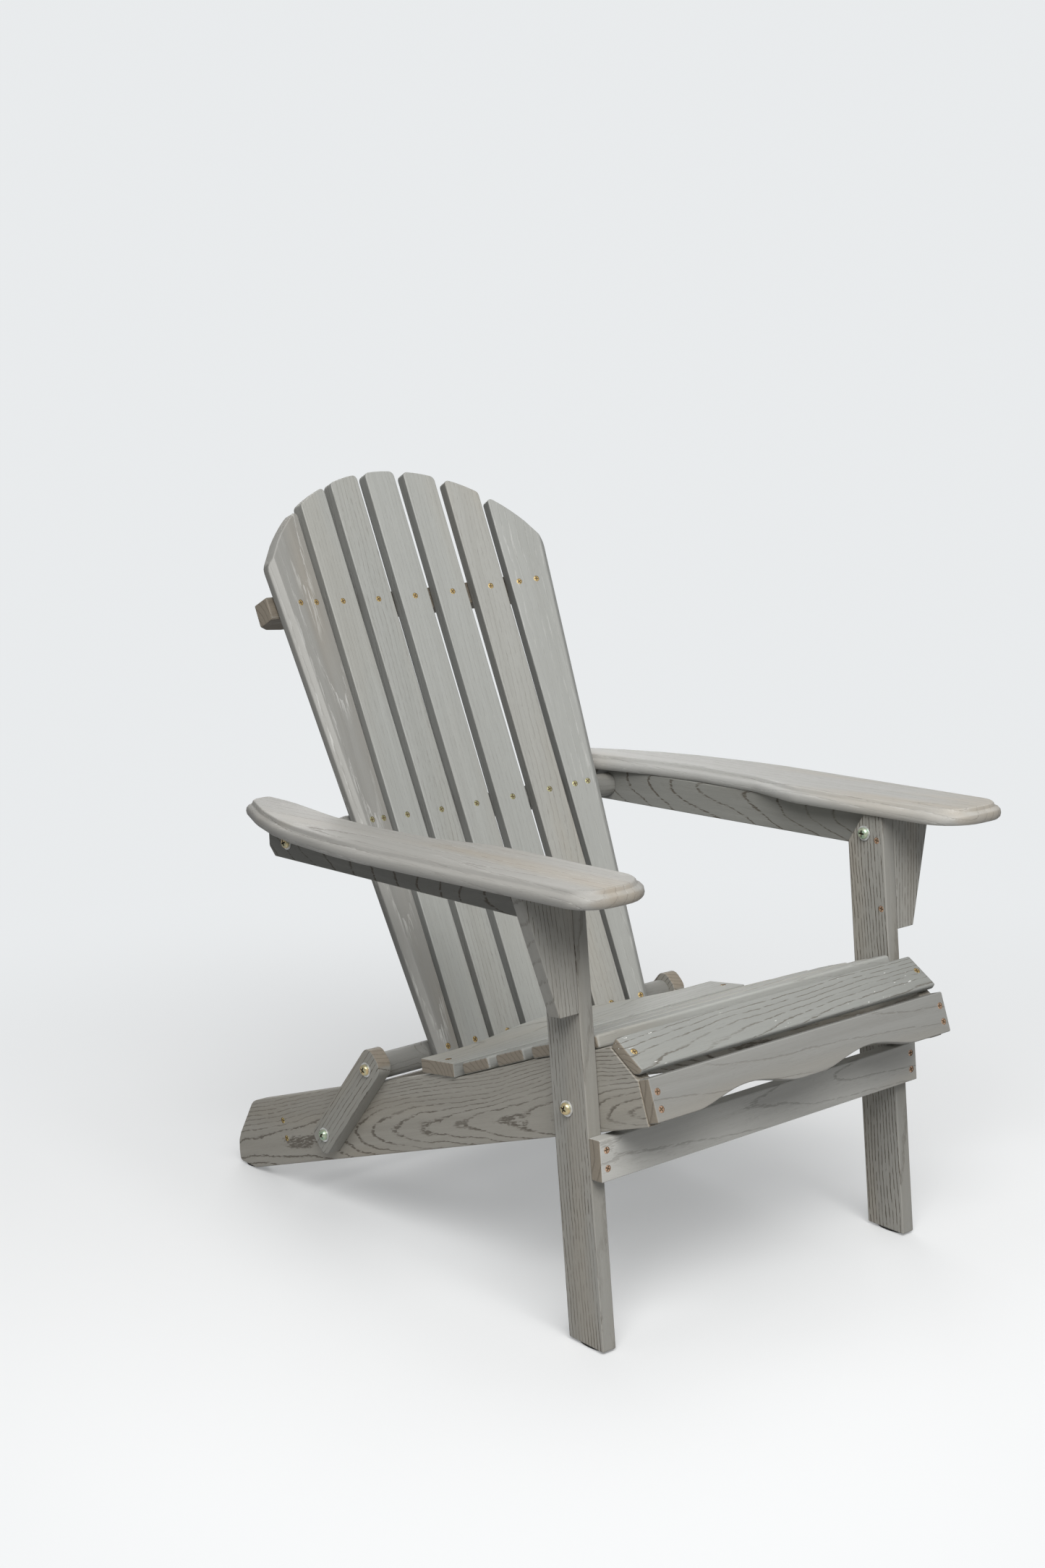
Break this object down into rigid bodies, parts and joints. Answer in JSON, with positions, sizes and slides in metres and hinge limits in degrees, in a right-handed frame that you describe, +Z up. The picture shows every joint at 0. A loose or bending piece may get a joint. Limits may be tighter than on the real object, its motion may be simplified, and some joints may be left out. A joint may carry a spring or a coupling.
{
  "type": "folding adirondack chair",
  "caption": "Folding adirondack chair in grey stained wood: fanned curved slat back, sloping slatted seat, broad flat arms, bolted pivots.",
  "frame": {"origin": "centre of the chair's bounding box, on the floor", "axes": "+X to the right of someone facing the chair, +Y from the seat's front towards the back, +Z up"},
  "size_m": [0.7058, 0.8476, 0.9273],
  "materials": {
    "weathered_grey_wood": "grey stained open-grain wood, matt",
    "shaded_grey_wood": "grey stained wood, browner, matt",
    "yellow_zinc": "yellow zinc plated steel",
    "bright_zinc": "bright zinc plated steel",
    "dark_rubber": "dark matt glide"
  },
  "bodies": {
    "seat": {"leg_pivot_nut_left": "bright_zinc", "leg_pivot_nut_right": "bright_zinc", "link_foot_nut_left": "bright_zinc", "link_foot_nut_right": "bright_zinc", "rear_glide_left": "dark_rubber", "rear_glide_right": "dark_rubber", "rear_stretcher": "shaded_grey_wood", "seat_apron": "weathered_grey_wood", "seat_nose_slat": "weathered_grey_wood", "seat_slat_1": "weathered_grey_wood", "seat_slat_2": "weathered_grey_wood", "seat_slat_3": "weathered_grey_wood", "seat_slat_4": "weathered_grey_wood", "seat_slat_rear": "weathered_grey_wood", "side_rail_left": "weathered_grey_wood", "side_rail_right": "weathered_grey_wood"},
    "legs": {"arm_bracket_left": "weathered_grey_wood", "arm_bracket_right": "weathered_grey_wood", "arm_pivot_bolt_left": "yellow_zinc", "arm_pivot_bolt_right": "yellow_zinc", "arm_pivot_washer_left": "bright_zinc", "arm_pivot_washer_right": "bright_zinc", "front_glide_left": "dark_rubber", "front_glide_right": "dark_rubber", "front_leg_left": "weathered_grey_wood", "front_leg_right": "weathered_grey_wood", "front_stretcher": "weathered_grey_wood", "leg_pivot_bolt_left": "yellow_zinc", "leg_pivot_bolt_right": "yellow_zinc", "leg_pivot_washer_left": "bright_zinc", "leg_pivot_washer_right": "bright_zinc"},
    "arms": {"arm_plate_left": "weathered_grey_wood", "arm_plate_right": "weathered_grey_wood", "arm_rail_left": "weathered_grey_wood", "arm_rail_right": "weathered_grey_wood", "back_pivot_bolt_left": "yellow_zinc", "back_pivot_bolt_right": "yellow_zinc", "back_pivot_washer_left": "bright_zinc", "back_pivot_washer_right": "bright_zinc"},
    "links": {"back_link_left": "weathered_grey_wood", "back_link_right": "weathered_grey_wood", "link_foot_bolt_left": "yellow_zinc", "link_foot_bolt_right": "yellow_zinc", "link_foot_washer_left": "bright_zinc", "link_foot_washer_right": "bright_zinc", "link_top_bolt_left": "yellow_zinc", "link_top_bolt_right": "yellow_zinc", "link_top_washer_left": "bright_zinc", "link_top_washer_right": "bright_zinc"},
    "back": {"back_batten_upper": "shaded_grey_wood", "back_crossbar_lower": "weathered_grey_wood", "back_crossbar_middle": "weathered_grey_wood", "back_slat_1": "weathered_grey_wood", "back_slat_2": "weathered_grey_wood", "back_slat_3": "weathered_grey_wood", "back_slat_4": "weathered_grey_wood", "back_slat_5": "weathered_grey_wood", "back_slat_6": "weathered_grey_wood", "back_slat_7": "weathered_grey_wood"}
  },
  "joints": [
    {"name": "leg_fold", "type": "hinge", "parent": "seat", "child": "legs", "pos_m": [0, -0.2943, 0.271], "axis": [1, 0, 0], "range_deg": [0, 60]},
    {"name": "arm_swing", "type": "hinge", "parent": "legs", "child": "arms", "pos_m": [0, -0.2773, 0.5], "axis": [1, 0, 0], "range_deg": [-46, 0]},
    {"name": "link_swing", "type": "hinge", "parent": "seat", "child": "links", "pos_m": [0, 0.1832, 0.1096], "axis": [1, 0, 0], "range_deg": [-17, 0]},
    {"name": "back_swing", "type": "hinge", "parent": "links", "child": "back", "pos_m": [0, 0.0867, 0.22], "axis": [1, 0, 0], "range_deg": [0, 69]}
  ],
  "couplings": [
    {"joint": "arm_swing", "follows": "leg_fold", "ratio": -0.762},
    {"joint": "link_swing", "follows": "leg_fold", "ratio": -0.273},
    {"joint": "back_swing", "follows": "leg_fold", "ratio": 1.135}
  ]
}
